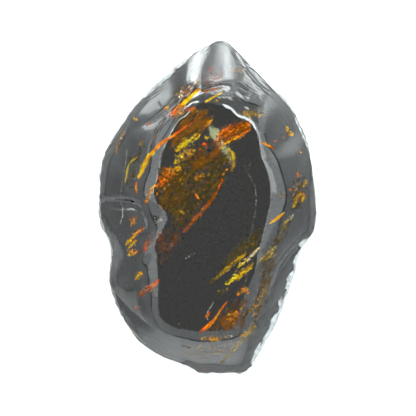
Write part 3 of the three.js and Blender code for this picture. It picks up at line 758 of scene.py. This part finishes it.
def cloud_flakes(clouds, seed):
    """The small dim flakes of the broad seams, in patches drawn out along the flow, sealed and open."""
    sealed = Flakes(seed)
    opened = Flakes(seed + 1)
    rng = sealed.rng
    for one in clouds:
        outline = one["edge"] + one["edge"][:1]
        xs, ys = zip(*outline)
        for _ in range(one["count"]):
            x = rng.uniform(min(xs), max(xs))
            y = rng.uniform(min(ys), max(ys))
            patch = clumped(x, y, PATCH, seed) + 0.5 * clumped(x, y, SMALL_PATCH, seed + 1)
            if patch < rng.uniform(-0.5, 0.2) or not inside(one["edge"], x, y):
                continue
            margin, _ = nearest_on(outline, np.array([(x, y)]))
            if margin[0] < rng.uniform(0, CLOUD_EDGE):
                continue
            is_open = rng.random() < CLOUD_OPEN
            centre, normal = under_polish(x, y, PROUD if is_open else rng.uniform(*one["depth"]))
            if centre is None:
                continue
            length = one["long"] * rng.lognormvariate(*UNEVEN)
            width = length * rng.uniform(0.16, 0.36)
            angle = flow_angle(x, y) + rng.gauss(0, 0.3)
            flakes = opened if is_open else sealed
            tint = flakes.lit(one["tints"], 0.4 + 0.8 * patch, CLOUD_GLINT)
            if is_open:
                tint = [part * OPEN_DIM for part in tint]
                flakes.add(centre, normal, angle, 0.7 * length, width, tint, OPEN_TILT, 6)
            else:
                flakes.add(centre, normal, angle, length, width, tint, SEALED_TILT, 6)
    return sealed.shell, opened.shell


VEIL_GRID = 0.4  # the spacing of a film's points, in mm
VEIL_THICK = 0.01
STREAK = (4.5, 1.3)  # how long and how wide the streaks in a film are, in mm
VEIL_DEPTH = 0.6 * PROUD  # a film lies just over the polish, under the open flakes


def veil_films(veils, seed):
    """Thin closed films just over the polish, each vertex with its tint and how dense the film is there."""
    shell = bmesh.new()
    layer = shell.verts.layers.float_color.new("tint")
    for one in veils:
        edge = one["edge"]
        xs, ys = zip(*edge)
        columns = int((max(xs) - min(xs)) / VEIL_GRID) + 1
        rows = int((max(ys) - min(ys)) / VEIL_GRID) + 1
        grid = [(column, row) for column in range(columns) for row in range(rows)]
        spots = [(min(xs) + column * VEIL_GRID, min(ys) + row * VEIL_GRID) for column, row in grid]
        margins, _ = nearest_on(edge + edge[:1], np.array(spots))
        corners = {}
        for cell, (x, y), margin in zip(grid, spots, margins):
            along, across = along_flow(x, y)
            streak = noise.fractal(Vector((along / STREAK[0], across / STREAK[1], seed)), 1.0, 2.0, 3)
            centre, _ = under_polish(x, y, VEIL_DEPTH)
            if centre is None or not inside(edge, x, y):
                continue
            dense = one["strength"] * eased(margin, 0, one["soft"])
            dense *= min(max(0.55 + 0.9 * streak, 0), 1.4)
            vertex = shell.verts.new(centre)
            vertex[layer] = (*mixed(one["tints"], 0.5 + 0.7 * streak), dense)
            corners[cell] = vertex
        for (column, row), vertex in corners.items():
            others = [corners.get((column + c, row + r)) for c, r in ((1, 0), (1, 1), (0, 1))]
            if None not in others:
                shell.faces.new((vertex, *others))
    loose = [vertex for vertex in shell.verts if not vertex.link_faces]
    bmesh.ops.delete(shell, geom=loose, context="VERTS")
    bmesh.ops.solidify(shell, geom=shell.faces[:], thickness=VEIL_THICK * MM)
    for face in shell.faces:
        face.smooth = True
    return shell


def flake_material(name, shine, rough, gloss):
    """Split resin in the flake's own tint, mottled finer than the flake: how metallic, rough and glossy."""
    material, wire = new_material(name)
    place = wire.node("ShaderNodeTexCoord", out=3)
    speckle = wire.node("ShaderNodeTexNoise", values={"Vector": place, "Scale": 1800.0, "Detail": 3.0})
    tint = wire.node("ShaderNodeAttribute", {"attribute_name": "tint"})
    darken = {"data_type": "RGBA", "blend_type": "MULTIPLY"}
    dim = wire.node("ShaderNodeMix", darken, {0: 1.0, 6: tint, 7: (0.6, 0.5, 0.42)}, out=2)
    look = {
        "Base Color": speckle.between(0.3, 0.7).blend(dim, tint),
        "Metallic": shine,
        "Roughness": rough,
        "Specular IOR Level": gloss,
    }
    flake = wire.node("ShaderNodeBsdfPrincipled", values=look)
    wire.node("ShaderNodeOutputMaterial", values={"Surface": flake})
    return material


def veil_material():
    """Clouded resin: a matt colour with soft gaps, so that the dark amber shows through."""
    material, wire = new_material("clouded_resin")
    place = wire.node("ShaderNodeTexCoord", out=3)
    tint = wire.node("ShaderNodeAttribute", {"attribute_name": "tint"})
    wisps = wire.node("ShaderNodeTexNoise", values={"Vector": place, "Scale": 900.0, "Detail": 3.0})
    dense = tint.output(3) * (0.5 + wisps.between(0.3, 0.7))
    look = {"Base Color": tint, "Alpha": dense, "Roughness": 0.6, "Specular IOR Level": 0.0}
    film = wire.node("ShaderNodeBsdfPrincipled", values=look)
    wire.node("ShaderNodeOutputMaterial", values={"Surface": film})
    return material


sealed_seams, open_seams = seam_flakes(SEAMS, seed=11)
sealed_clouds, open_clouds = cloud_flakes(CLOUDS, seed=12)
open_flakes = flake_material("open_flakes", 0.0, 0.6, 0.0)
for name, shell, material in (
    ("bright_seams", sealed_seams, flake_material("bright_flakes", 0.85, 0.38, 0.5)),
    ("dim_seams", sealed_clouds, flake_material("dim_flakes", 0.3, 0.38, 0.5)),
    ("open_seams", open_seams, open_flakes),
    ("open_clouds", open_clouds, open_flakes),
    ("resin_veils", veil_films(VEILS, seed=13), veil_material()),
):
    mesh = bpy.data.meshes.new(name)
    shell.to_mesh(mesh)
    shell.free()
    mesh.materials.append(material)
    piece = bpy.data.objects.new(name, mesh)
    bpy.context.scene.collection.objects.link(piece)
    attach(piece, "root")


# The studio. The stone lies on a white sheet inside a white light tent. The roof of the tent has
# a dim opening over the stone, and the polished face mirrors that opening as a dark pool. Lamps
# behind the tent's cloth glow as brighter places, and the pointed end mirrors them as bands.
TENT = 370  # half the tent's width, in mm
ROOF = 400
LAMPS = ROOF - 3
COOL = (0.93, 0.99, 1.0)
GREENISH = (0.97, 1.0, 0.96)
LIME = (0.9, 1.0, 0.55)


def hung(name, spots, faces, material):
    """A sheet of the tent from points in mm. The camera doesn't see it, only the stone mirrors it."""
    mesh = bpy.data.meshes.new(name)
    mesh.from_pydata([Vector(spot) * MM for spot in spots], [], faces)
    mesh.materials.append(material)
    piece = bpy.data.objects.new(name, mesh)
    bpy.context.scene.collection.objects.link(piece)
    piece.visible_camera = False
    piece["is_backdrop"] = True
    return piece


def flat(name, outline, z, material):
    return hung(name, [(x, y, z) for x, y in outline], [range(len(outline))], material)


def block(low, high):
    """The outline of a block of floor or roof between two corners."""
    return [low, (high[0], low[1]), high, (low[0], high[1])]


def tent_glow(strength, tint=COOL):
    """Cloth that glows evenly, lit from behind."""
    material, wire = new_material(f"tent_{strength}")
    glow = wire.node("ShaderNodeEmission", values={"Color": tint, "Strength": strength})
    wire.node("ShaderNodeOutputMaterial", values={"Surface": glow})
    return material


# The roof. Its dark opening hangs just below the cloth, with brighter folds along the edges. The places
# and glows of the tent's parts are fitted to the reflections that the photo shows
OPENING = [(-104, -128), (-62, -140), (38, -148), (106, -148), (108, -60), (106, -15), (112, 6),
           (120, 36), (128, 62), (108, 80), (84, 84), (76, 98), (64, 100), (60, 116), (50, 120),
           (46, 150), (0, 138), (-30, 124), (-56, 118), (-74, 96), (-84, 70), (-102, 50), (-112, 38),
           (-104, -4)]
FAR_FOLD = [(44, 172), (50, 120), (60, 116), (64, 100), (76, 98), (84, 84), (100, 81), (108, 112),
            (94, 116), (100, 150), (78, 142), (82, 178), (66, 150), (60, 176)]
CORNER_FOLD = [(100, 81), (108, 80), (128, 62), (150, 58), (158, 76), (138, 84), (126, 106), (104, 104)]
RIGHT_FOLD = [(108, -60), (106, -15), (112, 6), (120, 36), (128, 62), (146, 60), (136, 30), (128, 4),
              (118, -20), (118, -60)]
LEFT_FOLD = [(-104, -4), (-112, 38), (-102, 50), (-84, 70), (-74, 96), (-84, 106), (-96, 78), (-114, 58),
             (-126, 40), (-114, -6)]
CORNER_LAMP = [(-172, 262), (-150, 222), (-92, 200), (-52, 158), (-40, 170), (-56, 222), (-96, 262),
               (-140, 282)]
PALE_BAR = [(3, 74), (14, 73), (18, 60), (21, 48), (24, 36), (20, 35), (15, 47), (9, 56), (4, 64)]
ROOF_SHEETS = [
    ("roof_right", block((100, -74), (TENT, 140)), ROOF, 4.0, COOL),
    ("roof_bright", block((100, 18), (230, 96)), ROOF - 1, 7.4, COOL),
    ("roof_right_near", block((100, -TENT), (TENT, -74)), ROOF, 2.7, COOL),
    ("roof_left", block((-TENT, -74), (-100, 140)), ROOF, 4.2, COOL),
    ("roof_left_near", block((-TENT, -TENT), (-100, -74)), ROOF, 2.9, COOL),
    ("roof_near", block((-100, -TENT), (100, 0)), ROOF, 2.6, COOL),
    ("roof_middle", block((-100, 0), (100, 140)), ROOF, 2.3, COOL),
    ("roof_far_right", block((230, 140), (TENT, TENT)), ROOF, 5.0, COOL),
    ("roof_far", block((-230, 140), (230, TENT)), ROOF, 2.2, COOL),
    ("roof_far_left", block((-TENT, 140), (-230, TENT)), ROOF, 5.0, COOL),
    ("opening", OPENING, ROOF - 2, 1.05, GREENISH),
    ("far_fold", FAR_FOLD, LAMPS, 20.0, COOL),
    ("corner_fold", CORNER_FOLD, LAMPS, 10.0, COOL),
    ("right_fold", RIGHT_FOLD, LAMPS, 6.2, COOL),
    ("left_fold", LEFT_FOLD, LAMPS, 7.0, COOL),
    ("corner_lamp", CORNER_LAMP, LAMPS, 20.0, COOL),
    ("pale_bar", PALE_BAR, LAMPS, 9.5, LIME),
    ("crest_lamp", block((72, 275), (112, TENT)), LAMPS, 14.0, COOL),
]
for name, outline, z, strength, tint in ROOF_SHEETS:
    flat(name, outline, z, tent_glow(strength, tint))

# The walls, going round from the near right corner: where each panel starts, the height where its
# low part ends, and the glow of its low and high parts
PANELS = [
    ((TENT, -TENT), 200, 3.1, 2.6),
    ((TENT, -145), 230, 2.0, 2.0),
    ((TENT, 90), 150, 3.2, 2.7),
    ((TENT, 215), 150, 5.0, 9.5),
    ((TENT, TENT), 60, 4.5, 4.2),
    ((180, TENT), 60, 5.4, 4.4),
    ((105, TENT), 60, 3.9, 4.1),
    ((-190, TENT), 200, 2.5, 1.6),
    ((-264, TENT), 200, 5.0, 2.0),
    ((-290, TENT), 230, 10.0, 4.0),
    ((-TENT, TENT), 230, 9.0, 6.0),
    ((-TENT, 318), 230, 5.0, 5.0),
    ((-TENT, 292), 200, 3.2, 4.2),
    ((-TENT, 225), 200, 2.4, 3.2),
    ((-TENT, 150), 200, 1.65, 2.1),
    ((-TENT, -200), 200, 2.6, 2.4),
    ((-TENT, -TENT), 200, 3.6, 4.1),
    ((-180, -TENT), 200, 4.3, 4.3),
    ((150, -TENT), 200, 3.6, 3.8),
]
SOFT = 55  # how far one panel's glow runs over into the next, in mm
SOFT_SHARE = 0.35  # and the largest share of a panel that this takes up at either end
SPLIT_SOFT = 25  # how far the low and the high part run over into each other, in mm
FOOT_GLOW = 0.6  # the cloth glows less where it meets the sheet
FOOT_HEIGHT = 30
SEAM_HEIGHT = 36  # the dark seam where the walls meet the roof
WALL_TOP = ROOF - SEAM_HEIGHT
BRIGHTEST = 30.0


def cloth_material():
    """Tent cloth lit from behind, brighter in some places than in others."""
    material, wire = new_material("tent_cloth")
    glow = wire.node("ShaderNodeAttribute", {"attribute_name": "glow"})
    look = {
        "Base Color": (0, 0, 0),
        "Roughness": 1.0,
        "Specular IOR Level": 0.0,
        "Emission Color": glow,
        "Emission Strength": BRIGHTEST,
    }
    lit = wire.node("ShaderNodeBsdfPrincipled", values=look)
    wire.node("ShaderNodeOutputMaterial", values={"Surface": lit})
    return material


cloth_look = cloth_material()


def cloth(name, columns):
    """Cloth hung between columns of points, each with its glow, which changes evenly from point to point."""
    rows = len(columns[0])
    spots = [spot for column in columns for spot in column]
    steps = [c * rows + r for c in range(len(columns) - 1) for r in range(rows - 1)]
    faces = [(a, a + rows, a + rows + 1, a + 1) for a in steps]
    sheet = hung(name, [(x, y, z) for x, y, z, _ in spots], faces, cloth_look)
    glow = [part for _, _, _, lit in spots for part in (*(Vector(COOL) * lit / BRIGHTEST), 1)]
    sheet.data.attributes.new("glow", "FLOAT_COLOR", "POINT").data.foreach_set("color", glow)


columns = []
for number, (start, *panel) in enumerate(PANELS):
    end = PANELS[(number + 1) % len(PANELS)][0]
    joint = [(here + before) / 2 for here, before in zip(panel, PANELS[number - 1][1:])]
    length = math.dist(start, end)
    soft = min(SOFT, SOFT_SHARE * length)
    for walked, (split, low, high) in ((0, joint), (soft, panel), (length - soft, panel)):
        x, y = Vector(start).lerp(Vector(end), walked / length)
        foot = [(x, y, 0, FOOT_GLOW * low), (x, y, FOOT_HEIGHT, low), (x, y, split - SPLIT_SOFT, low)]
        columns.append([*foot, (x, y, split + SPLIT_SOFT, high), (x, y, WALL_TOP, high)])
cloth("tent_walls", columns + columns[:1])

CORNERS = [(TENT, -TENT), (TENT, TENT), (-TENT, TENT), (-TENT, -TENT)]
for (ax, ay), (bx, by) in zip(CORNERS, CORNERS[1:] + CORNERS[:1]):
    spots = [(ax, ay, WALL_TOP), (bx, by, WALL_TOP), (bx, by, ROOF), (ax, ay, ROOF)]
    hung("tent_seam", spots, [range(4)], tent_glow(0.8))

# Lamps behind the far wall: the outer and inner edges of each at its foot and at its head, its height
# and its glow, which fades to the glow of the wall at both sides
FAR_LAMPS = [
    ("left_lamp", (-124, -106, -62, -42), (-200, -178, -124, -102), 246, 30.0),
    ("middle_lamp", (14, 42, 90, 116), (10, 36, 82, 108), 362, 16.0),
    ("edge_lamp", (176, 206, 270, 300), (164, 194, 266, 296), 220, 12.0),
]
WALL_GLOW = 4.4
LAMP_WALL = TENT - 3
for name, feet, heads, height, glow in FAR_LAMPS:
    shine = (WALL_GLOW, glow, glow, WALL_GLOW)
    ends = zip(feet, heads, shine)
    cloth(name, [[(foot, LAMP_WALL, 0, lit), (head, LAMP_WALL, height, lit)] for foot, head, lit in ends])

FLOOR = 3000  # half the width of the white sheet, in mm
floor_material, wire = new_material("white_sheet")
sheet = wire.node("ShaderNodeBsdfPrincipled", values={"Base Color": (0.6, 0.6, 0.6), "Roughness": 0.9})
wire.node("ShaderNodeOutputMaterial", values={"Surface": sheet})
floor = flat("floor", block((-FLOOR, -FLOOR), (FLOOR, FLOOR)), 0, floor_material)
floor.visible_camera = True

world = bpy.data.worlds.new("pale_room")
world.use_nodes = True
world.node_tree.nodes["Background"].inputs["Color"].default_value = (0.95, 0.97, 1.0, 1)
world.node_tree.nodes["Background"].inputs["Strength"].default_value = 1.0
bpy.context.scene.world = world


# The camera. It looks straight down, with the stone's pointed end at the top of the picture, and
# its picture is as wide as the whole view at the level of the rim.
VIEW_WIDTH = 104
lens = bpy.data.cameras.new("camera")
lens.lens = 120
camera = bpy.data.objects.new("camera", lens)
camera_height = RIM_LEVEL + VIEW_WIDTH * lens.lens / lens.sensor_width
camera.location = Vector((OVERHEAD.x, OVERHEAD.y, camera_height)) * MM
bpy.context.scene.collection.objects.link(camera)
bpy.context.scene.camera = camera
bpy.context.scene.view_settings.view_transform = "Standard"

low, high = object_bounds()
